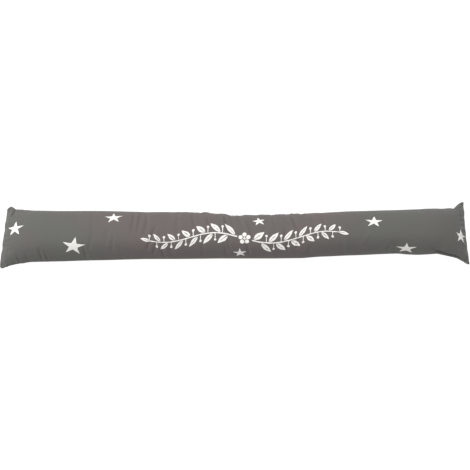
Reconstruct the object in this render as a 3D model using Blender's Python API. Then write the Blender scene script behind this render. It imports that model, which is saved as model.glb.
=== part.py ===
# Draught excluder: a long soft tube of cloth, stuffed, that lies along the foot of a door.
#
# It is cut as one oblong of cloth, folded along its front edge, sewn along its back edge and
# sewn flat across both ends. Stuffing rounds it out between the two end seams, so the four
# corners of the cloth are left standing out as small flat ears, and the waist is narrower
# than the end seams. The underside is pressed flat where it lies on the floor.
#
# Frame: +X along the tube, +Y to the back where the long seam runs, +Z up.
# The origin is the middle of the footprint, on the floor. All sizes are in metres.

import math
from collections import namedtuple

import bmesh
import bpy

LENGTH = 0.900
LIP = 0.0013  # half the thickness of the two cloths where they are sewn flat together
END_SWELL = 0.088  # how far from an end seam the stuffing has pushed the cloth to its full height
UNDER_SWELL = 0.066  # the same for the underside, where it comes down to the floor
SWELL_POWER = 0.64  # below 1 the cloth leaves the end seam steeply; a quarter ellipse has 0.5
END_HEIGHT = 0.024  # height of the middle of an end seam above the floor
EAR_DROOP = 0.006  # how much lower the corners hang than the middle of their seam
EDGE_SHARE = 0.47  # height of the long edges, as a share of the crown's height
LEFT_TAPER = 0.100  # how much the left half shortens towards its back edge, per metre of depth
RIGHT_TAPER = 0.035
DRAWN_IN = 0.0042  # how far the middle of an end seam is drawn in between its corners
DRAWN_REACH = 0.050  # how far along the tube that drawing-in is felt

TOP_FULLNESS = 2.25  # above 2 the crown is broader than an ellipse
UNDER_FULLNESS = 3.2
UNDER_PRESS = 1.08  # above 1 the underside is pressed flat on the floor
EAR_REACH = 0.017  # how far along the tube an ear reaches from its end seam
EAR_SHARE = 0.16  # how much of the half width, beside the end seam, holds no stuffing
LIP_FULLNESS = 8.0  # how square the section of the flat cloth is
CREASE_FADE = 0.4  # how much of its depth a crease loses from its start to its end

STEPS_ACROSS = 20  # cloth steps from one long edge to the other, above and below
END_STEPS = 15
END_CROWDING = 1.7  # above 1 the rings crowd together towards an end seam
PLAIN_STEP = 0.0115
GATHERED_STEP = 0.0052

# One row for each place where the tube's width or height changes.
# along: distance from the middle; back and front: the two long edges; crown: the height.
Section = namedtuple("Section", "along back front crown")
SECTIONS = (
    Section(-0.450, 0.0530, -0.0640, 0.0560),
    Section(-0.446, 0.0590, -0.0655, 0.0565),
    Section(-0.442, 0.0594, -0.0657, 0.0572),
    Section(-0.438, 0.0558, -0.0630, 0.0580),
    Section(-0.434, 0.0524, -0.0604, 0.0584),
    Section(-0.426, 0.0519, -0.0590, 0.0590),
    Section(-0.408, 0.0487, -0.0562, 0.0600),
    Section(-0.388, 0.0465, -0.0532, 0.0605),
    Section(-0.340, 0.0460, -0.0516, 0.0610),
    Section(-0.270, 0.0457, -0.0496, 0.0625),
    Section(-0.165, 0.0436, -0.0473, 0.0640),
    Section(-0.060, 0.0433, -0.0466, 0.0655),
    Section(-0.047, 0.0424, -0.0465, 0.0652),
    Section(-0.030, 0.0400, -0.0464, 0.0650),
    Section(0.010, 0.0379, -0.0463, 0.0645),
    Section(0.070, 0.0376, -0.0462, 0.0655),
    Section(0.125, 0.0394, -0.0452, 0.0665),
    Section(0.165, 0.0408, -0.0425, 0.0670),
    Section(0.225, 0.0441, -0.0403, 0.0670),
    Section(0.298, 0.0462, -0.0371, 0.0670),
    Section(0.350, 0.0487, -0.0389, 0.0660),
    Section(0.388, 0.0499, -0.0371, 0.0645),
    Section(0.413, 0.0520, -0.0434, 0.0630),
    Section(0.425, 0.0534, -0.0455, 0.0622),
    Section(0.432, 0.0552, -0.0496, 0.0617),
    Section(0.438, 0.0612, -0.0538, 0.0610),
    Section(0.444, 0.0657, -0.0572, 0.0605),
    Section(0.450, 0.0640, -0.0574, 0.0600),
)

# Creases in the upper cloth, each along a straight line seen from above.
# depth: how deep it is pressed in, or, below zero, how high it stands; breadth: half its width.
Crease = namedtuple("Crease", "start end depth breadth")
CREASES = (
    # the deep fold in front of the right-hand front ear
    Crease((0.374, -0.0325), (0.432, -0.0475), 0.0070, 0.0040),
    # the cloth of that ear, lifted beside the fold
    Crease((0.395, -0.0290), (0.438, -0.0400), -0.0022, 0.0080),
    # folds that run from the left-hand back ear
    Crease((-0.440, 0.0510), (-0.395, 0.0410), 0.0038, 0.0045),
    Crease((-0.440, 0.0480), (-0.415, 0.0240), 0.0026, 0.0050),
    # short creases at the front of the left end
    Crease((-0.376, -0.0310), (-0.360, -0.0480), -0.0020, 0.0032),
    Crease((-0.368, -0.0290), (-0.352, -0.0460), 0.0024, 0.0038),
    Crease((-0.418, -0.0410), (-0.404, -0.0530), -0.0018, 0.0032),
    # folds that run from the right-hand back ear
    Crease((0.440, 0.0550), (0.405, 0.0450), 0.0034, 0.0042),
    Crease((0.432, 0.0440), (0.436, -0.0120), 0.0018, 0.0040),
    # a slack fold over the front edge of the right half
    Crease((0.300, -0.0270), (0.318, -0.0390), 0.0018, 0.0060),
)

# Gathers: soft troughs that run from the long seam across the crown of the waist.
# along: where the gather leaves the seam; reach: how far it runs; slant: how far it drifts along.
Gather = namedtuple("Gather", "along reach slant depth breadth")
GATHERS = (
    Gather(-0.168, 0.062, -0.020, 0.0018, 0.0080),
    Gather(-0.118, 0.054, -0.012, 0.0018, 0.0075),
    Gather(-0.072, 0.044, 0.006, 0.0024, 0.0060),
    Gather(-0.046, 0.056, 0.016, 0.0036, 0.0054),
    Gather(-0.026, 0.060, 0.016, 0.0034, 0.0052),
    Gather(-0.007, 0.050, 0.008, 0.0032, 0.0048),
    Gather(0.012, 0.066, 0.000, 0.0030, 0.0060),
    Gather(0.036, 0.052, -0.004, 0.0028, 0.0056),
    Gather(0.064, 0.044, -0.006, 0.0022, 0.0060),
    Gather(0.104, 0.058, 0.012, 0.0026, 0.0064),
    Gather(0.142, 0.040, 0.006, 0.0016, 0.0064),
)
GATHERED_FROM = -0.090
GATHERED_TO = 0.125

CLOTH_COLOUR = (0.155, 0.150, 0.138, 1.0)
CLOTH_ROUGHNESS = 0.62


def clear_scene():
    for old in list(bpy.data.objects):
        bpy.data.objects.remove(old, do_unlink=True)


def smooth(share):
    share = min(max(share, 0.0), 1.0)
    return share * share * (3.0 - 2.0 * share)


def section_at(along):
    """The section's sizes there, eased from one row of the table to the next."""
    for left, right in zip(SECTIONS, SECTIONS[1:]):
        if along <= right.along:
            break
    share = (along - left.along) / (right.along - left.along)
    eased = 0.5 * (share + smooth(share))
    return [a + (b - a) * eased for a, b in zip(left[1:], right[1:])]


def swell(distance, reach):
    """0 at an end seam, rising in a rounded slope to 1 at reach and beyond."""
    left_over = 1.0 - min(distance / reach, 1.0)
    return (1.0 - left_over * left_over) ** SWELL_POWER


def dome(across, fullness):
    """1 in the middle of the tube and 0 at its long edges, where across is 1 or -1."""
    return math.sqrt(max(0.0, 1.0 - abs(across) ** fullness))


def point_on_form(along, across, upper):
    """A point of the stuffed form without its creases."""
    back, front, crown = section_at(along)
    distance = LENGTH / 2 - abs(along)
    filled = swell(distance, END_SWELL)
    on_floor = swell(distance, UNDER_SWELL)
    edge = END_HEIGHT + (EDGE_SHARE * crown - END_HEIGHT) * filled
    edge -= EAR_DROOP * across * across * (1.0 - filled)

    y = (back + front) / 2 + (back - front) / 2 * across
    drawn_in = DRAWN_IN * (1.0 - across * across) * (1.0 - smooth(distance / DRAWN_REACH))
    taper = LEFT_TAPER if along < 0 else RIGHT_TAPER
    x = along * (1.0 - taper * (y - front)) - math.copysign(drawn_in, along)

    # beside an ear the stuffing stops short of the sewn edge
    stuffed_share = 1.0 - EAR_SHARE * (1.0 - smooth(distance / EAR_REACH))
    flat_cloth = LIP * dome(across, LIP_FULLNESS)
    if upper:
        rise = (crown - edge) * filled * dome(across / stuffed_share, TOP_FULLNESS)
        return x, y, edge + max(rise, flat_cloth)
    pressed = min(1.0, UNDER_PRESS * dome(across / stuffed_share, UNDER_FULLNESS))
    drop = edge * on_floor * pressed
    return x, y, max(0.0, edge - max(drop, flat_cloth))


def distance_to_line(x, y, start, end):
    """Distance to the line from start to end, and the share of the line passed."""
    run_x, run_y = end[0] - start[0], end[1] - start[1]
    share = ((x - start[0]) * run_x + (y - start[1]) * run_y) / (run_x**2 + run_y**2)
    nearest = min(max(share, 0.0), 1.0)
    away = math.hypot(x - start[0] - nearest * run_x, y - start[1] - nearest * run_y)
    return away, nearest


def trough(away, depth, breadth):
    return depth * math.exp(-((away / breadth) ** 2))


def crease_depth(x, y):
    """How far the creases and gathers press the upper cloth in at a point seen from above."""
    total = 0.0
    for crease in CREASES:
        away, share = distance_to_line(x, y, crease.start, crease.end)
        total += trough(away, crease.depth * (1.0 - CREASE_FADE * share), crease.breadth)
    for gather in GATHERS:
        seam_y = section_at(gather.along)[0]
        start = (gather.along, seam_y)
        end = (gather.along + gather.slant, seam_y - gather.reach)
        away, share = distance_to_line(x, y, start, end)
        total += trough(away, gather.depth * (1.0 - share), gather.breadth * (1.0 + share))
    return total


def point_on_cloth(along, across, upper):
    x, y, z = point_on_form(along, across, upper)
    if not upper:
        return x, y, z
    # the creases press in towards the tube's axis
    _, _, edge = point_on_form(along, 1.0, True)
    back, front, _ = section_at(along)
    to_axis_y = (back + front) / 2 - y
    to_axis_z = edge - z
    reach = math.hypot(to_axis_y, to_axis_z) or 1.0
    room = smooth((LENGTH / 2 - abs(along)) / EAR_REACH)
    pressed = crease_depth(x, y) * room
    return x, y + pressed * to_axis_y / reach, z + pressed * to_axis_z / reach


def ring(along):
    """The points round the tube: over the top from front to back, then back underneath."""
    turns = [-math.cos(math.pi * step / STEPS_ACROSS) for step in range(STEPS_ACROSS + 1)]
    over = [point_on_cloth(along, across, True) for across in turns]
    under = [point_on_cloth(along, across, False) for across in reversed(turns[1:-1])]
    return over + under


def stations():
    """Places of the rings, closer together at the ends and in the gathered waist."""
    half = LENGTH / 2
    last_plain = half - END_SWELL
    near_end = [half - END_SWELL * (step / END_STEPS) ** END_CROWDING for step in range(END_STEPS)]
    places = [-place for place in near_end]
    place = -last_plain
    while place < last_plain - PLAIN_STEP / 2:
        places.append(place)
        gathered = GATHERED_FROM < place < GATHERED_TO
        place += GATHERED_STEP if gathered else PLAIN_STEP
    return places + [last_plain] + list(reversed(near_end))


def make_cushion():
    """Draws one ring of cloth out along the tube, and closes it at both end seams."""
    mesh = bmesh.new()
    places = stations()
    first = ring(places[0])
    loop = bmesh.ops.create_circle(mesh, segments=len(first), radius=0.01)["verts"]
    for vert, point in zip(loop, first):
        vert.co = point
    edges = list(mesh.edges)
    bmesh.ops.edgeloop_fill(mesh, edges=edges)
    for along in places[1:]:
        drawn = bmesh.ops.extrude_edge_only(mesh, edges=edges)["geom"]
        moved = {vert for vert in drawn if isinstance(vert, bmesh.types.BMVert)}
        edges = [edge for edge in drawn if isinstance(edge, bmesh.types.BMEdge)]
        following = []
        for vert in loop:
            partner = next(edge.other_vert(vert) for edge in vert.link_edges if edge.other_vert(vert) in moved)
            following.append(partner)
        loop = following
        for vert, point in zip(loop, ring(along)):
            vert.co = point
    bmesh.ops.edgeloop_fill(mesh, edges=edges)
    bmesh.ops.recalc_face_normals(mesh, faces=mesh.faces)
    bmesh.ops.triangulate(mesh, faces=[face for face in mesh.faces if len(face.verts) > 4])

    data = bpy.data.meshes.new("cushion")
    mesh.to_mesh(data)
    mesh.free()
    data.shade_smooth()
    cushion = bpy.data.objects.new("cushion", data)
    bpy.context.scene.collection.objects.link(cushion)
    return cushion


def grey_cloth():
    """Dull grey polyester cloth with a faint warm cast."""
    material = bpy.data.materials.new("grey_cloth")
    material.use_nodes = True
    shader = material.node_tree.nodes["Principled BSDF"]
    shader.inputs["Base Color"].default_value = CLOTH_COLOUR
    shader.inputs["Roughness"].default_value = CLOTH_ROUGHNESS
    shader.inputs["Metallic"].default_value = 0.0
    return material


def main():
    clear_scene()
    cushion = make_cushion()
    cushion.data.materials.append(grey_cloth())


main()
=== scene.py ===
# %% [markdown]
# A stuffed draught excluder: a long soft tube of grey polyester that lies along the foot of a
# door. It is printed with a scatter of small white stars and, in the middle, a leafy branch.
# The cloth is one oblong, folded along its front edge, sewn along its back edge and sewn flat
# across both ends. In this file the oblong is cut as a flat grid, laid over the stuffed form,
# and then settled by Blender's cloth solver, much as the sewn cover settles on its filling.

# %% Load the frame
import math
import random
from collections import namedtuple

import bmesh
import bpy
from mathutils import Matrix, Vector


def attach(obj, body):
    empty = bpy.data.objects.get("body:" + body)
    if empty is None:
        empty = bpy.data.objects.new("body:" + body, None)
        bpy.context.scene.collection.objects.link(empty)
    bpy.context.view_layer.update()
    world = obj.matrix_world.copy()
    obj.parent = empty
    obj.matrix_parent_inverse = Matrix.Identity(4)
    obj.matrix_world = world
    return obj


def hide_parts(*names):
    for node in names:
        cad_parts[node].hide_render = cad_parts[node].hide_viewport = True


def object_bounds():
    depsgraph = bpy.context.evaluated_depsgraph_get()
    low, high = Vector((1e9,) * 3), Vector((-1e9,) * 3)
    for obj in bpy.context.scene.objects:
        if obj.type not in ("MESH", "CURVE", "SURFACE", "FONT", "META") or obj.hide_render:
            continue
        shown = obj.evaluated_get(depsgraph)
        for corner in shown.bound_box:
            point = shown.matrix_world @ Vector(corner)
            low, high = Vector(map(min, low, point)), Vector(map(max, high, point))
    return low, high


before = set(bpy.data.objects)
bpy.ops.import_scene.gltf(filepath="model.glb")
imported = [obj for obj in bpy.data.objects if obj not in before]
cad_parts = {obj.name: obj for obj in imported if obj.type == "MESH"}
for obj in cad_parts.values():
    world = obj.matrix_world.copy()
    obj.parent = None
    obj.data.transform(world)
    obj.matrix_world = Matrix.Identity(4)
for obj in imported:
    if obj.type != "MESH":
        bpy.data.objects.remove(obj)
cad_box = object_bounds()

CAD_LOW, CAD_HIGH = (Vector(corner) for corner in cad_box)
LENGTH = CAD_HIGH.x - CAD_LOW.x
print(f"CAD box: {LENGTH:.3f} m long, {CAD_HIGH.y - CAD_LOW.y:.3f} m deep, {CAD_HIGH.z:.3f} m high")

# %% [markdown]
# The camera looks almost straight down, as someone standing over the tube would. It tips
# twelve degrees towards the front, which is why the front edge looks a little longer than the
# back one. A lens of about 43 mm on a 36 mm sensor, 1.1 m away, just takes in the 90 cm length.

# %% Camera
ELEVATION = math.radians(78.0)
CAMERA_DISTANCE = 1.1
LENS_MM = 42.78
AIM = Vector((0.0005, 0.0052, 0.0))


def make_camera():
    towards_camera = Vector((0.0, -math.cos(ELEVATION), math.sin(ELEVATION)))
    data = bpy.data.cameras.new("camera")
    data.lens = LENS_MM
    data.sensor_width = 36.0
    camera = bpy.data.objects.new("camera", data)
    camera.location = AIM + CAMERA_DISTANCE * towards_camera
    camera.rotation_euler = (-towards_camera).to_track_quat("-Z", "Y").to_euler()
    bpy.context.scene.collection.objects.link(camera)
    bpy.context.scene.camera = camera
    return camera


camera = make_camera()
print("camera stands at", [round(value, 3) for value in camera.location])

# %% [markdown]
# The tube lies on a light table, whose milky sheet glows evenly. That keeps the ground pure
# white up to the tube, with hardly any shadow, and throws some light onto the tube's lower
# edges. One wide soft box hangs high on the left and slightly behind. The crown is evenly lit,
# the front slope, which turns away from it, is darker, and every fold has a light and a dark
# side. The pale room fills in the rest.

# %% Floor and light
FLOOR_SIZE = 8.0
FLOOR_COLOUR = (0.12, 0.12, 0.12, 1.0)
FLOOR_GLOW = 0.98
FLOOR_GAP = 0.0005  # the tube's underside hovers by less than a thread over the sheet


def make_floor():
    mesh = bmesh.new()
    bmesh.ops.create_grid(mesh, x_segments=1, y_segments=1, size=FLOOR_SIZE / 2)
    data = bpy.data.meshes.new("floor")
    mesh.to_mesh(data)
    mesh.free()
    floor = bpy.data.objects.new("floor", data)
    data.transform(Matrix.Translation((0.0, 0.0, -FLOOR_GAP)))
    bpy.context.scene.collection.objects.link(floor)
    paper = bpy.data.materials.new("milky_sheet")
    paper.use_nodes = True
    shader = paper.node_tree.nodes["Principled BSDF"]
    shader.inputs["Base Color"].default_value = FLOOR_COLOUR
    shader.inputs["Roughness"].default_value = 0.9
    shader.inputs["Emission Color"].default_value = (1.0, 1.0, 1.0, 1.0)
    shader.inputs["Emission Strength"].default_value = FLOOR_GLOW
    data.materials.append(paper)
    return floor


def add_soft_box(name, place, size, power):
    data = bpy.data.lights.new(name, "AREA")
    data.shape = "RECTANGLE"
    data.size, data.size_y = size
    data.energy = power
    lamp = bpy.data.objects.new(name, data)
    lamp.location = place
    lamp.rotation_euler = (-Vector(place)).to_track_quat("-Z", "Y").to_euler()
    bpy.context.scene.collection.objects.link(lamp)
    return lamp


def light_the_room():
    add_soft_box("soft_box", (-2.25, 1.90, 4.90), (3.0, 1.6), 338.0)
    world = bpy.data.worlds.new("pale_room")
    world.use_nodes = True
    background = world.node_tree.nodes["Background"]
    background.inputs["Color"].default_value = (0.97, 0.985, 1.0, 1.0)
    background.inputs["Strength"].default_value = 0.55
    scene = bpy.context.scene
    scene.world = world
    scene.view_settings.view_transform = "Standard"
    scene.view_settings.look = "None"


floor = make_floor()
light_the_room()
print("the floor and the soft box are in place")

# %% [markdown]
# The stuffed form has the same sections as the solid in the frame. A row gives, for one place
# along the tube, how far the back and front edges stand out and how high the crown is. Between
# the rows the sizes are eased. Towards each end seam the upper and the lower cloth come
# together in a rounded slope, and the corners, which hold no stuffing, stay as flat ears.

# %% Sections of the stuffed form
Section = namedtuple("Section", "along back front crown")
SECTIONS = (
    Section(-0.4500, 0.0525, -0.0625, 0.0560),
    Section(-0.4460, 0.0565, -0.0650, 0.0565),
    Section(-0.4420, 0.0585, -0.0655, 0.0570),
    Section(-0.4385, 0.0580, -0.0635, 0.0580),
    Section(-0.4355, 0.0560, -0.0625, 0.0585),
    Section(-0.4310, 0.0520, -0.0600, 0.0585),
    Section(-0.4260, 0.0515, -0.0590, 0.0590),
    Section(-0.4170, 0.0505, -0.0570, 0.0595),
    Section(-0.4080, 0.0490, -0.0555, 0.0600),
    Section(-0.3880, 0.0470, -0.0530, 0.0605),
    Section(-0.3400, 0.0460, -0.0520, 0.0610),
    Section(-0.2700, 0.0460, -0.0500, 0.0625),
    Section(-0.1650, 0.0435, -0.0475, 0.0640),
    Section(-0.1100, 0.0435, -0.0475, 0.0650),
    Section(-0.0600, 0.0425, -0.0470, 0.0655),
    Section(-0.0300, 0.0405, -0.0465, 0.0650),
    Section(0.0000, 0.0370, -0.0465, 0.0645),
    Section(0.0400, 0.0380, -0.0465, 0.0650),
    Section(0.0700, 0.0385, -0.0465, 0.0655),
    Section(0.1250, 0.0400, -0.0460, 0.0665),
    Section(0.1650, 0.0415, -0.0430, 0.0670),
    Section(0.2250, 0.0445, -0.0405, 0.0670),
    Section(0.2980, 0.0465, -0.0375, 0.0670),
    Section(0.3500, 0.0485, -0.0395, 0.0660),
    Section(0.3700, 0.0500, -0.0385, 0.0650),
    Section(0.3880, 0.0505, -0.0370, 0.0645),
    Section(0.3980, 0.0505, -0.0390, 0.0640),
    Section(0.4070, 0.0515, -0.0410, 0.0635),
    Section(0.4170, 0.0530, -0.0430, 0.0630),
    Section(0.4250, 0.0530, -0.0450, 0.0620),
    Section(0.4320, 0.0580, -0.0485, 0.0615),
    Section(0.4355, 0.0620, -0.0515, 0.0615),
    Section(0.4380, 0.0645, -0.0545, 0.0610),
    Section(0.4410, 0.0655, -0.0560, 0.0605),
    Section(0.4445, 0.0675, -0.0575, 0.0605),
    Section(0.4500, 0.0675, -0.0575, 0.0600),
)
HALF = LENGTH / 2
LIP = 0.0013
END_SWELL = 0.088
UNDER_SWELL = 0.066
SWELL_POWER = 0.64
END_HEIGHT = 0.024
EAR_DROOP = 0.006
EDGE_SHARE = 0.47
LEFT_TAPER = 0.100
RIGHT_TAPER = 0.018
LEFT_DRAWN_IN = 0.0028
RIGHT_DRAWN_IN = 0.0048
DRAWN_REACH = 0.050
BACK_FULLNESS, BACK_FALL = 2.25, 0.5
FRONT_FULLNESS, FRONT_FALL = 2.8, 0.85  # the front slopes more evenly than the back
UNDER_FULLNESS = 3.2
UNDER_PRESS = 1.08
EAR_REACH = 0.017
EAR_SHARE = 0.16
LIP_FULLNESS = 8.0
LIP_ROLL = 0.0014  # the flat cloth rounds over to the seam line within this distance


def smooth(share):
    share = min(max(share, 0.0), 1.0)
    return share * share * (3.0 - 2.0 * share)


def section_at(along):
    for left, right in zip(SECTIONS, SECTIONS[1:]):
        if along <= right.along:
            break
    share = (along - left.along) / (right.along - left.along)
    eased = 0.5 * (share + smooth(share))
    return [a + (b - a) * eased for a, b in zip(left[1:], right[1:])]


def swell(distance, reach):
    left_over = 1.0 - min(distance / reach, 1.0)
    return (1.0 - left_over * left_over) ** SWELL_POWER


def dome(across, fullness, fall=0.5):
    return max(0.0, 1.0 - abs(across) ** fullness) ** fall


def point_on_form(along, across, upper):
    """A point of the smooth stuffed form; across is 1 at the back edge and -1 at the front."""
    back, front, crown = section_at(along)
    distance = max(0.0, HALF - abs(along))
    filled = swell(distance, END_SWELL)
    edge = END_HEIGHT + (EDGE_SHARE * crown - END_HEIGHT) * filled
    edge -= EAR_DROOP * across * across * (1.0 - filled)
    y = (back + front) / 2 + (back - front) / 2 * across
    taper, drawn_in = (LEFT_TAPER, LEFT_DRAWN_IN) if along < 0 else (RIGHT_TAPER, RIGHT_DRAWN_IN)
    drawn_in *= (1.0 - across * across) * (1.0 - smooth(distance / DRAWN_REACH))
    x = along * (1.0 - taper * (y - front)) - math.copysign(drawn_in, along)
    stuffed_share = 1.0 - EAR_SHARE * (1.0 - smooth(distance / EAR_REACH))
    lip = LIP * math.sqrt(min(1.0, distance / LIP_ROLL))
    flat_cloth = lip * dome(across, LIP_FULLNESS)
    if upper:
        shape = (BACK_FULLNESS, BACK_FALL) if across > 0 else (FRONT_FULLNESS, FRONT_FALL)
        rise = (crown - edge) * filled * dome(across / stuffed_share, *shape)
        return Vector((x, y, edge + max(rise, flat_cloth)))
    pressed = min(1.0, UNDER_PRESS * dome(across / stuffed_share, UNDER_FULLNESS))
    drop = edge * swell(distance, UNDER_SWELL) * pressed
    return Vector((x, y, max(0.0, edge - max(drop, flat_cloth))))


middle = point_on_form(0.0, 0.0, True)
print(f"the crown stands {middle.z * 1000:.0f} mm high in the middle")

# %% [markdown]
# The oblong of cloth is a grid. Its first coordinate runs along the tube and its second one
# round it, from the back seam over the top to the front fold and back underneath. Rows are
# closer together near the seams, where the cloth puckers most. Each grid point is laid on the
# form, and the same two coordinates, in metres of cloth, become its UV map, so that a print
# drawn on the flat cloth bends with the surface.

# %% Cut the cloth and lay it over the form
STEPS_ALONG = 276
STEPS_ROUND = 86
SEAM_CROWDING = 0.30  # how much closer together the rows are at the back seam
END_CROWDING = 1.5
END_SHARE = 0.16  # the share of the rings that lies within END_SWELL of an end seam
GIRTH = 0.250  # of the flat cloth, from seam to seam
ARC_STEPS = 160


def place_along(share):
    """Where a ring lies, for a share from 0 at the left end to 1 at the right end."""
    near = min(share, 1.0 - share)
    if near < END_SHARE:
        distance = END_SWELL * (near / END_SHARE) ** END_CROWDING
    else:
        distance = END_SWELL + (HALF - END_SWELL) * (near - END_SHARE) / (0.5 - END_SHARE)
    return HALF - distance if share > 0.5 else distance - HALF


def place_round(share):
    return share - SEAM_CROWDING * math.sin(math.tau * share) / math.tau


def even_arc(along, upper):
    """Points of one section from the back edge to the front one, with their shares of the arc."""
    turns = [math.cos(math.pi * step / ARC_STEPS) for step in range(ARC_STEPS + 1)]
    points = [point_on_form(along, across, upper) for across in turns]
    run = [0.0]
    for before, after in zip(points, points[1:]):
        run.append(run[-1] + (after - before).length)
    return points, [length / run[-1] for length in run]


def point_on_arc(arc, share):
    points, run = arc
    for index in range(ARC_STEPS):
        if share <= run[index + 1]:
            break
    part = (share - run[index]) / max(run[index + 1] - run[index], 1e-9)
    return points[index].lerp(points[index + 1], min(max(part, 0.0), 1.0))


def cut_cloth():
    """The flat cloth: x runs 0 to 1 along the tube and y runs 0 to 1 round it."""
    cloth = bmesh.new()
    bmesh.ops.create_grid(cloth, x_segments=STEPS_ALONG, y_segments=STEPS_ROUND, size=0.5)
    bmesh.ops.translate(cloth, verts=cloth.verts, vec=(0.5, 0.5, 0.0))
    return cloth


def lay_on_form(cloth):
    """Moves each point of the flat cloth onto the form and keeps its flat place as UV."""
    uv = cloth.loops.layers.uv.new("cloth")
    flat = {}
    rings = {}
    for vert in cloth.verts:
        column = round(vert.co.x * STEPS_ALONG)
        share = place_round(vert.co.y)
        if column not in rings:
            along = place_along(column / STEPS_ALONG)
            rings[column] = (along, even_arc(along, True), even_arc(along, False))
        along, over, under = rings[column]
        flat[vert] = (along, share * GIRTH)
        if share <= 0.5:
            vert.co = point_on_arc(over, 2.0 * share)
        else:
            vert.co = point_on_arc(under, 2.0 - 2.0 * share)
    for face in cloth.faces:
        for loop in face.loops:
            loop[uv].uv = flat[loop.vert]
    return cloth


cloth = lay_on_form(cut_cloth())
print(f"the cloth has {len(cloth.faces)} squares")

# %% [markdown]
# Where the grid's edges meet, the doubled points are merged: the two long edges become the back
# seam, and the upper and lower cloth meet in the two end seams. What is left is one closed tube,
# which is what a sewn cover is once its turning gap has been closed. Making the normals
# consistent can leave them all pointing inwards, so the sign of the volume is looked at too.

# %% Sew the seams
WELD_DISTANCE = 0.00005


def edge_counts(data):
    """How many faces meet at each edge; on a closed cover it is two everywhere."""
    counts = [0] * len(data.edges)
    for loop in data.loops:
        counts[loop.edge_index] += 1
    return counts


def sew(cloth):
    before = len(cloth.verts)
    bmesh.ops.remove_doubles(cloth, verts=cloth.verts, dist=WELD_DISTANCE)
    bmesh.ops.recalc_face_normals(cloth, faces=cloth.faces)
    if cloth.calc_volume(signed=True) < 0.0:
        bmesh.ops.reverse_faces(cloth, faces=cloth.faces)
    data = bpy.data.meshes.new("cover")
    cloth.to_mesh(data)
    cloth.free()
    data.shade_smooth()
    cover = bpy.data.objects.new("cover", data)
    bpy.context.scene.collection.objects.link(cover)
    open_edges = sum(1 for polygon_count in edge_counts(data) if polygon_count != 2)
    print(f"sewn: {before - len(data.vertices)} points merged, {open_edges} open edges left")
    return cover


cover = sew(cloth)

# %% [markdown]
# Pressure from the filling is what makes sewn cloth look like sewn cloth: it pulls the panel
# taut between its seams and lets the spare cloth beside them buckle into puckers. The cloth
# solver does this best. The seams and the flat underside are pinned, the cloth next to the
# seams is given a few per cent more length than the form has, and the pressure does the rest.
# The result is capped, so that the cover keeps the size of the solid it stands for.

# %% Settle the cloth on its filling
SETTLE_FRAMES = 18
PRESSURE = 2.0
SPARE_CLOTH = 0.05
MOST_MOVE = 0.0035
SEAM_PIN = 0.004
PLAIN_PIN = 0.2  # how firmly the filling holds the plain cloth in its place
PUCKER_ZONE = 0.034
ON_FLOOR = 0.0012  # points lower than this lie on the floor and don't move
WAIST_AT, WAIST_HALF, WAIST_FADE = 0.025, 0.150, 0.060


def cloth_places(data):
    """Each point's place on the flat cloth: along the tube, and round it from the back seam."""
    places = [None] * len(data.vertices)
    uv = data.uv_layers["cloth"].data
    for loop in data.loops:
        place = uv[loop.index].uv
        known = places[loop.vertex_index]
        if known is None or place.y < known[1]:
            places[loop.vertex_index] = (place.x, place.y)
    return places


def seam_distance(along, girth):
    to_back = min(girth, GIRTH - girth)
    to_end = HALF - abs(along)
    return to_back, to_end


def waist_share(along):
    """1 in the gathered stretch of the back seam, and less beside it."""
    return smooth((WAIST_HALF - abs(along - WAIST_AT)) / WAIST_FADE)


def pin_weight(point, along, girth):
    to_back, to_end = seam_distance(along, girth)
    if point.z < ON_FLOOR:
        return 1.0
    if min(to_back, to_end) < SEAM_PIN:
        return 1.0
    return PLAIN_PIN


def spare_share(along, girth):
    """How much spare cloth there is, from 0 in the plain panel to 1 beside a puckered seam."""
    to_back, to_end = seam_distance(along, girth)
    beside_end = 1.0 - smooth(to_end / PUCKER_ZONE)
    beside_back = waist_share(along) * (1.0 - smooth(to_back / PUCKER_ZONE))
    return max(beside_end, beside_back)


def settle(piece):
    data = piece.data
    places = cloth_places(data)
    pins = piece.vertex_groups.new(name="sewn")
    taut = piece.vertex_groups.new(name="taut")
    for vertex, (along, girth) in zip(data.vertices, places):
        pins.add([vertex.index], pin_weight(vertex.co, along, girth), "REPLACE")
        taut.add([vertex.index], 1.0 - spare_share(along, girth), "REPLACE")
    modifier = piece.modifiers.new("settle", "CLOTH")
    settings = modifier.settings
    settings.quality = 6
    settings.mass = 0.2
    settings.tension_stiffness = 20.0
    settings.compression_stiffness = 12.0
    settings.shear_stiffness = 6.0
    settings.bending_stiffness = 0.4
    settings.use_pressure = True
    settings.uniform_pressure_force = PRESSURE
    settings.vertex_group_mass = "sewn"
    settings.pin_stiffness = 1.0
    settings.vertex_group_shrink = "taut"
    settings.shrink_min = -SPARE_CLOTH
    settings.shrink_max = 0.0
    settings.effector_weights.gravity = 0.0
    modifier.collision_settings.use_collision = False
    modifier.point_cache.frame_start = 1
    modifier.point_cache.frame_end = SETTLE_FRAMES
    start = [vertex.co.copy() for vertex in data.vertices]
    for frame_number in range(1, SETTLE_FRAMES + 1):
        bpy.context.scene.frame_set(frame_number)
    graph = bpy.context.evaluated_depsgraph_get()
    evaluated = piece.evaluated_get(graph)
    settled = evaluated.to_mesh()
    moves = [after.co - before for after, before in zip(settled.vertices, start)]
    evaluated.to_mesh_clear()
    piece.modifiers.remove(modifier)
    piece.vertex_groups.clear()
    bpy.context.scene.frame_set(1)
    for vertex, before, move in zip(data.vertices, start, moves):
        length = move.length
        if length > 0.0:
            move = move * (MOST_MOVE * math.tanh(length / MOST_MOVE) / length)
        vertex.co = before + move
        vertex.co.z = max(vertex.co.z, 0.0)
    data.update()
    return max(move.length for move in moves)


most = settle(cover)
print(f"the cloth moved by at most {most * 1000:.1f} mm before the cap")

# %% [markdown]
# One level of subdivision rounds the grid into smooth cloth. It is applied, because the finest
# folds and the seams are pressed into its points.

# %% Subdivide the cloth


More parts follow.
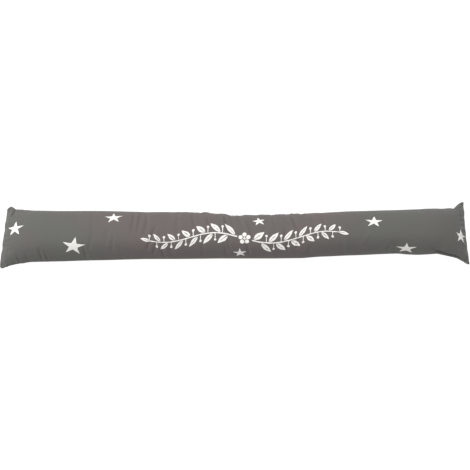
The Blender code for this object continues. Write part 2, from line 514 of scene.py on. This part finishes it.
def apply_subdivision(piece):
    modifier = piece.modifiers.new("smooth_cloth", "SUBSURF")
    modifier.levels = 1
    modifier.render_levels = 1
    graph = bpy.context.evaluated_depsgraph_get()
    finer = bpy.data.meshes.new_from_object(piece.evaluated_get(graph))
    piece.modifiers.remove(modifier)
    coarse = piece.data
    piece.data = finer
    bpy.data.meshes.remove(coarse)
    finer.name = "cover"
    finer.shade_smooth()
    return len(finer.polygons)


print(f"the cover has {apply_subdivision(cover)} faces")

# %% [markdown]
# Folds are placed one by one, as soft troughs and ridges in the form. A crease is a straight line
# seen from above. A gather starts at the back seam and fades out across the crown; most of them
# are at the waist, where the seam was drawn up. Each is a bell-shaped dent, so it has no hard
# edge, and its depth fades from its start to its end.

# %% Main folds
Crease = namedtuple("Crease", "start end depth breadth")
CREASES = (
    # the cloth of the right-hand front ear, lifted beside its fold
    Crease((0.395, -0.0290), (0.438, -0.0400), -0.0014, 0.0080),
    # folds that run from the left-hand back ear
    Crease((-0.440, 0.0500), (-0.395, 0.0400), 0.0024, 0.0045),
    Crease((-0.440, 0.0460), (-0.415, 0.0240), 0.0020, 0.0050),
    # short creases at the front of the left end
    Crease((-0.376, -0.0310), (-0.360, -0.0480), -0.0010, 0.0040),
    Crease((-0.418, -0.0410), (-0.404, -0.0530), -0.0009, 0.0040),
    # folds that run from the right-hand back ear
    Crease((0.440, 0.0530), (0.405, 0.0440), 0.0022, 0.0042),
    Crease((0.432, 0.0440), (0.436, -0.0120), 0.0018, 0.0040),
    # a slack fold over the front edge of the right half
    Crease((0.300, -0.0270), (0.318, -0.0390), 0.0018, 0.0060),
)
CREASE_FADE = 0.4
FRONT_FOLD = GIRTH / 2
FADE_UNDER = 0.022  # how far underneath a fold of the upper cloth is still felt
GATHER_AT_SEAM = 0.30  # the share of a gather's depth that is left right at the seam
GATHER_FULL = 0.018  # how far from the seam a gather has its full depth

Gather = namedtuple("Gather", "along reach slant depth breadth")
GATHERS = (
    Gather(-0.168, 0.062, -0.020, 0.0010, 0.0080),
    Gather(-0.118, 0.054, -0.012, 0.0010, 0.0075),
    Gather(-0.072, 0.044, 0.006, 0.0012, 0.0060),
    Gather(-0.046, 0.056, 0.016, 0.0016, 0.0054),
    Gather(-0.026, 0.060, 0.016, 0.0014, 0.0052),
    Gather(-0.007, 0.050, 0.008, 0.0014, 0.0048),
    Gather(0.012, 0.066, 0.000, 0.0014, 0.0060),
    Gather(0.036, 0.052, -0.004, 0.0014, 0.0056),
    Gather(0.064, 0.044, -0.006, 0.0012, 0.0060),
    Gather(0.096, 0.050, 0.012, 0.0014, 0.0064),
    Gather(0.142, 0.040, 0.006, 0.0010, 0.0064),
)


def press_in(piece, depth_at):
    """Moves each point inwards along its normal by depth_at(point, along, girth)."""
    data = piece.data
    places = cloth_places(data)
    normals = [vertex.normal.copy() for vertex in data.vertices]
    deepest = 0.0
    for vertex, (along, girth), normal in zip(data.vertices, places, normals):
        depth = depth_at(vertex.co, along, girth)
        deepest = max(deepest, depth)
        vertex.co = vertex.co - normal * depth
        vertex.co.z = max(vertex.co.z, 0.0)
    data.update()
    return deepest


def distance_to_line(x, y, start, end):
    run_x, run_y = end[0] - start[0], end[1] - start[1]
    share = ((x - start[0]) * run_x + (y - start[1]) * run_y) / (run_x**2 + run_y**2)
    nearest = min(max(share, 0.0), 1.0)
    away = math.hypot(x - start[0] - nearest * run_x, y - start[1] - nearest * run_y)
    return away, nearest


def bell(away, breadth):
    return math.exp(-((away / breadth) ** 2))


GATHER_LINES = [
    ((g.along, section_at(g.along)[0]), (g.along + g.slant, section_at(g.along)[0] - g.reach), g)
    for g in GATHERS
]


def upper_share(girth):
    """1 on the upper cloth, fading out underneath, a little way round both long edges."""
    past_front = 1.0 - smooth((girth - FRONT_FOLD) / FADE_UNDER)
    past_back = 1.0 - smooth((GIRTH - girth) / FADE_UNDER)
    return max(past_front, past_back)


def main_fold_depth(point, along, girth):
    shown = upper_share(girth)
    if shown == 0.0:
        return 0.0
    depth = 0.0
    for crease in CREASES:
        away, share = distance_to_line(point.x, point.y, crease.start, crease.end)
        depth += crease.depth * (1.0 - CREASE_FADE * share) * bell(away, crease.breadth)
    at_seam = GATHER_AT_SEAM + (1.0 - GATHER_AT_SEAM) * smooth(min(girth, GIRTH - girth) / GATHER_FULL)
    for start, end, gather in GATHER_LINES:
        away, share = distance_to_line(point.x, point.y, start, end)
        depth += at_seam * gather.depth * (1.0 - share) * bell(away, gather.breadth * (1.0 + share))
    return shown * depth * smooth((HALF - abs(along)) / EAR_REACH)


deepest = press_in(cover, main_fold_depth)
print(f"the deepest fold is pressed in by {deepest * 1000:.1f} mm")

# %% [markdown]
# Between the big folds the cloth has many slight ones. They run round the tube rather than
# along it, because the filling pulls the cloth lengthwise and leaves it a little loose round
# the middle. Each is drawn on the flat cloth as a bowed line with a shallow valley along it
# and a low ridge on either side, and fades out at both ends.

# %% Slight folds
Fold = namedtuple("Fold", "along girth to_along to_girth bow depth breadth")
FOLDS = (
    # the left end, in front
    Fold(-0.366, 0.090, -0.362, 0.124, -0.0005, 0.0017, 0.0030),
    Fold(-0.357, 0.097, -0.352, 0.124, -0.0015, 0.0011, 0.0025),
    Fold(-0.411, 0.102, -0.405, 0.128, 0.0000, 0.0014, 0.0025),
    Fold(-0.393, 0.105, -0.388, 0.126, 0.0000, 0.0008, 0.0025),
    # folds that run out of the left-hand back ear
    Fold(-0.429, 0.004, -0.437, 0.030, -0.0020, 0.0028, 0.0025),
    Fold(-0.421, 0.011, -0.394, 0.031, 0.0000, 0.0008, 0.0030),
    # left half
    Fold(-0.283, 0.085, -0.280, 0.119, -0.0015, 0.0015, 0.0030),
    Fold(-0.274, 0.018, -0.266, 0.080, -0.0030, 0.0006, 0.0050),
    Fold(-0.267, 0.070, -0.273, 0.100, -0.0010, 0.0007, 0.0040),
    Fold(-0.236, 0.057, -0.238, 0.087, 0.0015, 0.0007, 0.0045),
    Fold(-0.226, 0.070, -0.230, 0.108, 0.0000, 0.0009, 0.0040),
    Fold(-0.220, 0.085, -0.205, 0.113, 0.0005, 0.0008, 0.0030),
    Fold(-0.192, 0.013, -0.192, 0.066, -0.0015, 0.0014, 0.0040),
    Fold(-0.179, 0.015, -0.182, 0.068, -0.0010, 0.0013, 0.0035),
    Fold(-0.169, 0.018, -0.170, 0.072, -0.0045, 0.0016, 0.0040),
    Fold(-0.147, 0.053, -0.164, 0.101, 0.0010, 0.0020, 0.0035),
    Fold(-0.138, 0.065, -0.154, 0.111, -0.0010, 0.0017, 0.0035),
    Fold(-0.139, 0.082, -0.131, 0.123, 0.0000, 0.0017, 0.0030),
    Fold(-0.118, 0.080, -0.118, 0.118, 0.0015, 0.0009, 0.0040),
    Fold(-0.108, 0.016, -0.106, 0.068, 0.0010, 0.0009, 0.0045),
    # the waist
    Fold(-0.082, 0.013, -0.072, 0.062, 0.0010, 0.0012, 0.0035),
    Fold(-0.057, 0.074, -0.058, 0.116, 0.0020, 0.0009, 0.0040),
    Fold(-0.054, 0.013, -0.045, 0.064, 0.0005, 0.0012, 0.0040),
    Fold(-0.028, 0.015, -0.013, 0.080, 0.0005, -0.0015, 0.0030),
    Fold(-0.019, 0.013, -0.010, 0.060, 0.0010, 0.0022, 0.0030),
    Fold(-0.013, 0.068, -0.009, 0.098, 0.0005, 0.0013, 0.0030),
    Fold(-0.020, 0.084, -0.014, 0.119, -0.0005, 0.0012, 0.0030),
    Fold(0.011, 0.022, 0.029, 0.078, -0.0015, -0.0016, 0.0035),
    Fold(0.020, 0.065, 0.029, 0.116, 0.0005, 0.0019, 0.0035),
    Fold(0.054, 0.045, 0.056, 0.096, -0.0020, 0.0007, 0.0045),
    # right half
    Fold(0.072, 0.014, 0.080, 0.061, 0.0025, 0.0010, 0.0040),
    Fold(0.093, 0.056, 0.100, 0.105, 0.0005, 0.0021, 0.0035),
    Fold(0.107, 0.011, 0.119, 0.062, 0.0025, 0.0027, 0.0040),
    Fold(0.120, 0.060, 0.114, 0.099, -0.0015, 0.0019, 0.0035),
    Fold(0.141, 0.088, 0.139, 0.119, 0.0015, 0.0009, 0.0035),
    Fold(0.145, 0.016, 0.150, 0.065, 0.0015, 0.0007, 0.0045),
    Fold(0.163, 0.029, 0.175, 0.061, 0.0015, 0.0012, 0.0030),
    Fold(0.197, 0.092, 0.208, 0.123, 0.0000, 0.0012, 0.0040),
    Fold(0.204, 0.052, 0.208, 0.110, -0.0005, -0.0007, 0.0070),
    Fold(0.254, 0.069, 0.234, 0.100, 0.0020, -0.0007, 0.0040),
    Fold(0.282, 0.118, 0.296, 0.087, -0.0005, 0.0011, 0.0030),
    # folds that run out of the right-hand ears
    Fold(0.423, 0.010, 0.437, 0.048, -0.0040, 0.0017, 0.0025),
    Fold(0.401, 0.024, 0.426, 0.022, 0.0035, 0.0011, 0.0025),
    Fold(0.372, 0.111, 0.402, 0.111, 0.0065, 0.0020, 0.0025),
    Fold(0.367, 0.106, 0.385, 0.120, -0.0030, 0.0018, 0.0025),
    Fold(0.374, 0.119, 0.434, 0.122, 0.0000, 0.0036, 0.0025),
)
FOLD_BIN = 0.010


def distance_to_fold(fold, along, girth):
    """Signed distance from a fold's bowed line, and the share of the line passed."""
    run, rise = fold.to_along - fold.along, fold.to_girth - fold.girth
    length = math.hypot(run, rise)
    share = ((along - fold.along) * run + (girth - fold.girth) * rise) / length**2
    aside = ((girth - fold.girth) * run - (along - fold.along) * rise) / length
    return aside - 4.0 * fold.bow * share * (1.0 - share), share


def valley(aside, breadth):
    """A valley one unit deep with a low ridge on either side."""
    across = (aside / breadth) ** 2
    return (1.0 - 0.7 * across) * math.exp(-across / 1.3)


def by_place(folds):
    """The folds that touch each centimetre of the tube, so that a point tries only those."""
    bins = {}
    for fold in folds:
        spread = 3.0 * fold.breadth + abs(fold.bow)
        low = min(fold.along, fold.to_along) - spread
        high = max(fold.along, fold.to_along) + spread
        for index in range(math.floor(low / FOLD_BIN), math.floor(high / FOLD_BIN) + 1):
            bins.setdefault(index, []).append(fold)
    return bins


def fold_depth(bins, along, girth, fade):
    depth = 0.0
    for fold in bins.get(math.floor(along / FOLD_BIN), ()):
        aside, share = distance_to_fold(fold, along, girth)
        if 0.0 < share < 1.0 and abs(aside) < 3.0 * fold.breadth:
            depth += fold.depth * fade(share) * valley(aside, fold.breadth)
    return depth


def fade_both_ends(share):
    return (4.0 * share * (1.0 - share)) ** 0.6


slight = by_place(FOLDS)


def slight_fold_depth(point, along, girth):
    return fold_depth(slight, along, girth, fade_both_ends)


deepest = press_in(cover, slight_fold_depth)
print(f"{len(FOLDS)} slight folds, up to {deepest * 1000:.1f} mm deep")

# %% [markdown]
# A sewn seam is never quite smooth: the thread draws the two layers together, so the back seam
# lies in a narrow groove, and short puckers stand off both sides of every seam. There are more
# of them at the waist. The end seams, which hold two flat layers, wave up and down a little.
# The places are drawn from a fixed random seed, so each run sews the same cushion.

# %% Seams
SEWING_SEED = 12
GROOVE_DEPTH = 0.0010
GROOVE_BREADTH = 0.0016
PUCKER_CLEAR = 0.014  # where the two layers of an end seam begin to part
RIPPLE = 0.0010
RIPPLE_REACH = 0.024


def back_seam_puckers(sewing):
    puckers = []
    for side in (0, 1):
        along = -HALF + 0.03
        while along < HALF - 0.03:
            tight = waist_share(along)
            reach = sewing.uniform(0.006, 0.013) * (1.0 + 0.7 * tight)
            slant = sewing.uniform(-0.25, 0.25) * reach
            depth = sewing.uniform(0.0001, 0.0003) * (1.0 + 0.8 * tight)
            breadth = sewing.uniform(0.0018, 0.0028)
            start, end = (0.0, reach) if side == 0 else (GIRTH, GIRTH - reach)
            puckers.append(Fold(along, start, along + slant, end, 0.0, depth, breadth))
            along += sewing.uniform(0.007, 0.013) * (1.0 - 0.25 * tight)
    return puckers


def end_seam_puckers(sewing):
    puckers = []
    for end in (-1.0, 1.0):
        for low, high in ((0.008, 0.118), (0.132, 0.242)):
            girth = low
            while girth < high:
                reach = sewing.uniform(0.016, 0.040)
                slant = sewing.uniform(-0.005, 0.005)
                depth = sewing.uniform(0.0006, 0.0015)
                breadth = sewing.uniform(0.0020, 0.0034)
                bow = sewing.uniform(-0.0015, 0.0015)
                start, stop = end * HALF, end * (HALF - reach)
                puckers.append(Fold(start, girth, stop, girth + slant, bow, depth, breadth))
                girth += sewing.uniform(0.007, 0.012)
    return puckers


def fade_from_seam(share):
    return (1.0 - share) ** 0.8


def seam_depth(point, along, girth):
    to_back, to_end = seam_distance(along, girth)
    parted = smooth(to_end / PUCKER_CLEAR)
    groove = GROOVE_DEPTH * bell(to_back, GROOVE_BREADTH)
    return parted * (groove + fold_depth(puckers, along, girth, fade_from_seam))


def ripple_ends(piece, sewing):
    """Waves the flat end seams up and down, both layers together."""
    waves = [(sewing.uniform(0.015, 0.040), sewing.uniform(0.0, math.tau)) for _ in range(6)]
    data = piece.data
    for vertex, (along, girth) in zip(data.vertices, cloth_places(data)):
        near = 1.0 - smooth((HALF - abs(along)) / RIPPLE_REACH)
        if near > 0.0:
            three = waves[:3] if along < 0 else waves[3:]
            lift = sum(math.sin(vertex.co.y * math.tau / length + phase) for length, phase in three)
            vertex.co.z += near * RIPPLE * lift / 1.7
    data.update()


sewing = random.Random(SEWING_SEED)
puckers = by_place(back_seam_puckers(sewing) + end_seam_puckers(sewing))
press_in(cover, seam_depth)
ripple_ends(cover, sewing)
print(f"puckers lie in {len(puckers)} of the {round(LENGTH / FOLD_BIN)} centimetres of the seams")

# %% [markdown]
# A material is a tree of nodes, and a print drawn with them needs many. A small class adds the
# nodes and links them, so that a formula for a star or a leaf reads as a formula. A print is
# drawn as a signed distance: below zero inside the motif and above zero on the bare cloth.

# %% Helpers for shader nodes


class Nodes:
    """Adds nodes to a tree and links them; a number given as an input is typed into its socket."""

    def __init__(self, tree):
        self.tree = tree

    def add(self, kind, inputs=(), **settings):
        node = self.tree.nodes.new(kind)
        for name, value in settings.items():
            setattr(node, name, value)
        for index, value in enumerate(inputs):
            if value is None:
                continue
            if isinstance(value, bpy.types.NodeSocket):
                self.tree.links.new(value, node.inputs[index])
            else:
                node.inputs[index].default_value = value
        return node

    def math(self, operation, *inputs, clamp=False):
        node = self.add("ShaderNodeMath", inputs, operation=operation)
        node.use_clamp = clamp
        return node.outputs[0]

    def vector(self, operation, *inputs):
        return self.add("ShaderNodeVectorMath", inputs, operation=operation).outputs[0]

    def length(self, vector):
        return self.add("ShaderNodeVectorMath", (vector,), operation="LENGTH").outputs["Value"]

    def split(self, vector):
        node = self.add("ShaderNodeSeparateXYZ", (vector,))
        return node.outputs[0], node.outputs[1]

    def join(self, x, y):
        return self.add("ShaderNodeCombineXYZ", (x, y, 0.0)).outputs[0]

    def moved(self, vector, place, turn, size):
        """The vector in the axes of a motif that lies at place, turned, and stretched by size."""
        scale = (1.0 / size[0], 1.0 / size[1], 1.0)
        centre = (place[0] * scale[0], place[1] * scale[1])
        back_x = centre[0] * math.cos(turn) + centre[1] * math.sin(turn)
        back_y = -centre[0] * math.sin(turn) + centre[1] * math.cos(turn)
        node = self.add("ShaderNodeMapping", (vector,), vector_type="POINT")
        node.inputs["Location"].default_value = (-back_x, -back_y, 0.0)
        node.inputs["Rotation"].default_value = (0.0, 0.0, -turn)
        node.inputs["Scale"].default_value = scale
        return node.outputs[0]

    def noise(self, vector, scale, detail=2.0, roughness=0.5):
        node = self.add("ShaderNodeTexNoise", (vector,), noise_dimensions="3D")
        node.inputs["Scale"].default_value = scale
        node.inputs["Detail"].default_value = detail
        node.inputs["Roughness"].default_value = roughness
        return node.outputs[0]

    def ramp(self, value, low, high, to_low=0.0, to_high=1.0, ease="SMOOTHSTEP"):
        node = self.add("ShaderNodeMapRange", (value, low, high, to_low, to_high))
        node.interpolation_type = ease
        return node.outputs[0]

    def mix(self, share, first, second):
        node = self.add("ShaderNodeMix", data_type="RGBA")
        for name, value in (("Factor_Float", share), ("A_Color", first), ("B_Color", second)):
            socket = next(s for s in node.inputs if s.identifier == name)
            if isinstance(value, bpy.types.NodeSocket):
                self.tree.links.new(value, socket)
            else:
                socket.default_value = value
        return next(s for s in node.outputs if s.identifier == "Result_Color")


print("shader helpers are ready")

# %% [markdown]
# The stars are ordinary five-pointed ones, printed in white and never quite alike. A star is
# drawn by folding the plane round its centre into one tenth of a turn, where its outline is a
# single straight line; the signed distance to that line is below zero inside. A row of the
# table says where a star lies on the flat cloth, how far it is turned and how far it reaches
# along and round the tube. All stars share one distance: the least of theirs.

# %% Printed stars
Star = namedtuple("Star", "along girth turn reach_along reach_round ink")
STARS = (
    Star(-0.4168, 0.0536, -0.5, 0.0197, 0.0144, 1.00),
    Star(-0.3004, 0.0893, 10.0, 0.0222, 0.0174, 0.90),
    Star(-0.2291, 0.0348, -5.0, 0.0172, 0.0118, 0.97),
    Star(0.0452, 0.0388, -8.5, 0.0131, 0.0102, 1.00),
    Star(0.0100, 0.1060, -5.0, 0.0131, 0.0113, 0.94),
    Star(0.2590, 0.0494, 7.0, 0.0176, 0.0116, 1.00),
    Star(0.3212, 0.1068, -4.0, 0.0200, 0.0140, 0.92),
    Star(0.4296, 0.0754, 6.0, 0.0152, 0.0146, 0.98),
)
STAR_WAIST = 0.37  # the reach of a star's inner corners, as a share of its tips'
STAR_FOLD = math.pi / 5
FAR_OFF = 1.0


def star_distance(n, vector):
    """Signed distance to a star with tips one unit from its centre, in units."""
    x, y = n.split(vector)
    angle = n.math("ARCTAN2", x, n.math("MULTIPLY", y, -1.0))
    folded = n.math("PINGPONG", angle, STAR_FOLD)
    reach = n.length(vector)
    tip_side = n.math("MULTIPLY", reach, n.math("COSINE", folded))
    flank = n.math("MULTIPLY", reach, n.math("SINE", folded))
    rise = STAR_WAIST * math.sin(STAR_FOLD)
    run = 1.0 - STAR_WAIST * math.cos(STAR_FOLD)
    slope = math.hypot(rise, run)
    along_tip = n.math("MULTIPLY_ADD", tip_side, rise / slope, -rise / slope)
    return n.math("MULTIPLY_ADD", flank, run / slope, along_tip)


def stars(n, cloth):
    """The least distance to any star, in metres, and how much ink the stars there hold."""
    least = FAR_OFF
    ink = 1.0
    for star in STARS:
        own = n.moved(cloth, (star.along, star.girth), math.radians(star.turn),
                      (star.reach_along, star.reach_round))
        distance = n.math("MULTIPLY", star_distance(n, own), star.reach_round)
        ink = n.math("MULTIPLY", ink, n.ramp(distance, 0.0, 0.002, star.ink, 1.0))
        least = n.math("MINIMUM", distance, least)
    return least, ink


print(f"{len(STARS)} stars, the largest reaches {max(s.reach_along for s in STARS) * 1000:.0f} mm")

# %% [markdown]
# Between the stars runs a leafy branch, a common ornament on household textiles. It grows both
# ways from a small five-petalled flower along a gentle wave. Leaves, berries and their stalks
# repeat at an even pitch, so one leaf and one berry are drawn in a cell that repeats along the
# stem; the lower side is set off by half a pitch, which puts the leaves in turn on both sides.

# %% Printed branch
BRANCH_CENTRE = 0.018
BRANCH_ROUND = 0.074
BRANCH_WAVE = 0.0095
BRANCH_WAVELENGTH = 0.200
BRANCH_START = 0.0135  # where the stem leaves the flower
LEAF_PITCH = 0.0272
LEAVES = 6  # on the upper side of each half
STEM = 0.0012
LEAF_LENGTH = 0.0285
LEAF_WIDTH = 0.0050
LEAF_ANGLE = math.radians(44.0)
LEAF_OFFSET = 0.0118
LEAF_VEIN = 0.00042
LEAF_SHRINK = 0.36
BERRY = 0.0023
BERRY_OFFSET = 0.0140
STALK = 0.0006
PETAL_REACH = 0.0075
PETAL = 0.0040
FLOWER_EYE = 0.0024


def leaf_distance(n, share, across, half_length, shrink):
    """A pointed leaf with a bare vein; share runs from -1 at its stalk to 1 at its tip."""
    bow = n.math("MULTIPLY_ADD", n.math("MULTIPLY", share, share), -1.0, 1.0)
    fuller = n.math("MAXIMUM", n.math("MULTIPLY_ADD", share, -0.22, 1.0), 0.2)
    widest = n.math("MULTIPLY", shrink, LEAF_WIDTH)
    half_width = n.math("MULTIPLY", n.math("MULTIPLY", bow, fuller), widest)
    outline = n.math("SUBTRACT", across, half_width)
    off_vein = n.math("SUBTRACT", n.math("ABSOLUTE", n.math("ADD", share, 0.32)), 0.62)
    vein = n.math("MAXIMUM", across, n.math("MULTIPLY", off_vein, half_length))
    return n.math("MAXIMUM", outline, n.math("SUBTRACT", LEAF_VEIN, vein))


def branch(n, cloth):
    """The least distance to the branch, in metres."""
    along, girth = n.split(cloth)
    from_centre = n.math("SUBTRACT", along, BRANCH_CENTRE)
    run = n.math("SUBTRACT", n.math("ABSOLUTE", from_centre), BRANCH_START)
    wave = n.math("SINE", n.math("MULTIPLY", from_centre, math.tau / BRANCH_WAVELENGTH))
    off_stem = n.math("SUBTRACT", girth, n.math("MULTIPLY_ADD", wave, BRANCH_WAVE, BRANCH_ROUND))
    lower = n.math("GREATER_THAN", off_stem, 0.0)
    beside = n.math("ABSOLUTE", off_stem)
    span = LEAVES * LEAF_PITCH
    shrink = n.ramp(run, 0.0, span, 1.0, 1.0 - LEAF_SHRINK, "LINEAR")

    stem = n.math("SUBTRACT", beside, n.math("MULTIPLY", shrink, STEM))
    past_stem = n.math("MAXIMUM", n.math("MULTIPLY", run, -1.0), n.math("SUBTRACT", run, span))
    stem = n.math("MAXIMUM", stem, past_stem)

    # on the lower side the cells start half a pitch further out, and there is one leaf less
    side_run = n.math("MULTIPLY_ADD", lower, -LEAF_PITCH / 2, run)
    too_far = n.math("MULTIPLY_ADD", lower, LEAF_PITCH, n.math("SUBTRACT", side_run, span))
    in_cell = n.math("SUBTRACT", n.math("FLOORED_MODULO", side_run, LEAF_PITCH), LEAF_PITCH / 2)
    outside = n.math("MAXIMUM", n.math("MULTIPLY", side_run, -1.0), too_far)
    out = n.math("MULTIPLY_ADD", shrink, -LEAF_OFFSET, beside)
    cosine, sine = math.cos(LEAF_ANGLE), math.sin(LEAF_ANGLE)
    down = n.math("MULTIPLY_ADD", in_cell, cosine, n.math("MULTIPLY", out, sine))
    aside = n.math("MULTIPLY_ADD", in_cell, -sine, n.math("MULTIPLY", out, cosine))
    across = n.math("ABSOLUTE", aside)
    half_length = n.math("MULTIPLY", shrink, LEAF_LENGTH / 2)
    leaf = leaf_distance(n, n.math("DIVIDE", down, half_length), across, half_length, shrink)

    berry_along = n.math("PINGPONG", side_run, LEAF_PITCH / 2)
    berry_out = n.math("MULTIPLY_ADD", shrink, -BERRY_OFFSET, beside)
    berry = n.math("SUBTRACT", n.length(n.join(berry_along, berry_out)), BERRY)
    stalk = n.math("MAXIMUM", n.math("SUBTRACT", berry_along, STALK), berry_out)
    off_berries = n.math("ADD", outside, -LEAF_PITCH / 4)
    first_berry = n.math("SUBTRACT", LEAF_PITCH / 4, side_run)
    berry = n.math("MAXIMUM", n.math("MINIMUM", berry, stalk), n.math("MAXIMUM", off_berries, first_berry))
    least = n.math("MINIMUM", n.math("MINIMUM", stem, n.math("MAXIMUM", leaf, outside)), berry)

    # one more leaf at each tip of the branch, in line with the stem
    tip_half = LEAF_LENGTH * (1.0 - LEAF_SHRINK) / 2
    tip_share = n.math("DIVIDE", n.math("SUBTRACT", run, span + 0.8 * tip_half), tip_half)
    tip = leaf_distance(n, tip_share, beside, tip_half, 1.0 - LEAF_SHRINK)
    return n.math("MINIMUM", n.math("MINIMUM", least, tip), flower(n, cloth))


def flower(n, cloth):
    """Five round petals set apart round an open eye with a dot in it."""
    own = n.moved(cloth, (BRANCH_CENTRE, BRANCH_ROUND), 0.0, (1.0, 1.0))
    x, y = n.split(own)
    angle = n.math("PINGPONG", n.math("ARCTAN2", x, n.math("MULTIPLY", y, -1.0)), STAR_FOLD)
    reach = n.length(own)
    down = n.math("MULTIPLY_ADD", reach, n.math("COSINE", angle), -PETAL_REACH)
    across = n.math("MULTIPLY", reach, n.math("SINE", angle))
    petals = n.math("SUBTRACT", n.length(n.join(down, across)), PETAL)
    return n.math("MINIMUM", petals, n.math("SUBTRACT", reach, FLOWER_EYE))


BRANCH_REACH = BRANCH_START + LEAVES * LEAF_PITCH
print(f"the branch's stem spans {2 * BRANCH_REACH * 1000:.0f} mm")

# %% [markdown]
# The cloth is a dense grey polyester with a soft, slightly peachy hand. Its material is built
# from the flat-cloth UV map, so threads and print follow the cloth round the tube. The grey
# drifts between a cooler and a warmer tone over a hand's breadth. The weave is a bump of small
# cushions, one for each crossing of two threads, under a layer of soft creases that is too
# shallow for the mesh. The fuzz on the surface is the shader's own sheen.

# %% Grey cloth
COOL_GREY = (0.104, 0.103, 0.094, 1.0)
WARM_GREY = (0.118, 0.099, 0.096, 1.0)
INK = (0.80, 0.775, 0.735, 1.0)
INK_EDGE = 0.0003
INK_DEPTH = 0.00004
FRAY = 0.0014  # how unevenly the ink's edge runs
THREAD_PITCH = 0.00050
SLUB_SCALE = (60.0, 900.0, 1.0)  # thick stretches of thread, long one way and thin the other
WEAVE_DEPTH = 0.00006
CREASE_DEPTH = 0.0005
SEAM_SHADE = 0.55
# painted shade: the dark colour laid along the seam lines, standing in for the shadow in the seam grooves
SEAM_SHADOW_COLOUR = (0.035, 0.034, 0.032, 1.0)


def grey_cloth():
    material = bpy.data.materials.new("grey_cloth")
    material.use_nodes = True
    n = Nodes(material.node_tree)
    shader = material.node_tree.nodes["Principled BSDF"]
    cloth = n.add("ShaderNodeUVMap", uv_map="cloth").outputs[0]
    along, girth = n.split(cloth)

    drift = n.noise(cloth, 9.0, detail=3.0)
    middle = n.ramp(n.math("ABSOLUTE", n.math("ADD", along, 0.02)), 0.12, 0.34, 0.85, 0.05)
    warm = n.math("ADD", middle, n.ramp(drift, 0.35, 0.65, -0.25, 0.25), clamp=True)
    grey = n.mix(warm, COOL_GREY, WARM_GREY)

    wobble = n.noise(cloth, 160.0, detail=1.0)
    edge_wobble = n.math("MULTIPLY_ADD", wobble, FRAY, -FRAY / 2)
    star_edge, star_ink = stars(n, cloth)
    edge = n.math("ADD", n.math("MINIMUM", star_edge, branch(n, cloth)), edge_wobble)
    printed = n.ramp(edge, -INK_EDGE, INK_EDGE, 1.0, 0.0)
    worn = n.ramp(n.noise(cloth, 900.0, detail=3.0, roughness=0.65), 0.30, 0.62, 0.82, 1.0)
    printed = n.math("MULTIPLY", n.math("MULTIPLY", printed, worn), star_ink)
    colour = n.mix(printed, grey, INK)

    to_back = n.math("MINIMUM", girth, n.math("SUBTRACT", GIRTH, girth))
    to_end = n.math("SUBTRACT", HALF, n.math("ABSOLUTE", along))
    to_seam = n.math("MINIMUM", to_back, to_end)
    # painted shade: the cloth is darkened towards every seam line, where the seam grooves lie in shadow
    seam = n.ramp(to_seam, 0.0004, 0.0022, SEAM_SHADE, 1.0)
    colour = n.mix(seam, SEAM_SHADOW_COLOUR, colour)
    material.node_tree.links.new(colour, shader.inputs["Base Color"])

    shader.inputs["Roughness"].default_value = 0.72
    shader.inputs["Sheen Weight"].default_value = 0.10
    shader.inputs["Sheen Roughness"].default_value = 0.45
    shader.inputs["Specular IOR Level"].default_value = 0.20

    threads = n.vector("MULTIPLY", cloth, (math.pi / THREAD_PITCH,) * 3)
    warp, weft = n.split(threads)
    weave = n.math("MULTIPLY", n.math("SINE", warp), n.math("SINE", weft))
    slub = n.noise(n.vector("MULTIPLY", cloth, SLUB_SCALE), 1.0)
    height = n.math("MULTIPLY_ADD", weave, WEAVE_DEPTH, n.math("MULTIPLY", slub, WEAVE_DEPTH))
    soft = n.noise(cloth, 45.0, detail=3.0, roughness=0.45)
    height = n.math("MULTIPLY_ADD", soft, CREASE_DEPTH, height)
    height = n.math("MULTIPLY_ADD", printed, INK_DEPTH, height)
    bump = n.add("ShaderNodeBump")
    bump.inputs["Strength"].default_value = 0.9
    bump.inputs["Distance"].default_value = 1.0
    material.node_tree.links.new(height, bump.inputs["Height"])
    material.node_tree.links.new(bump.outputs["Normal"], shader.inputs["Normal"])
    return material


cover.data.materials.append(grey_cloth())
print(f"grey cloth: {len(cover.data.materials[0].node_tree.nodes)} nodes")

# %% Join the cover to the frame
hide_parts("cushion")
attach(cover, "root")
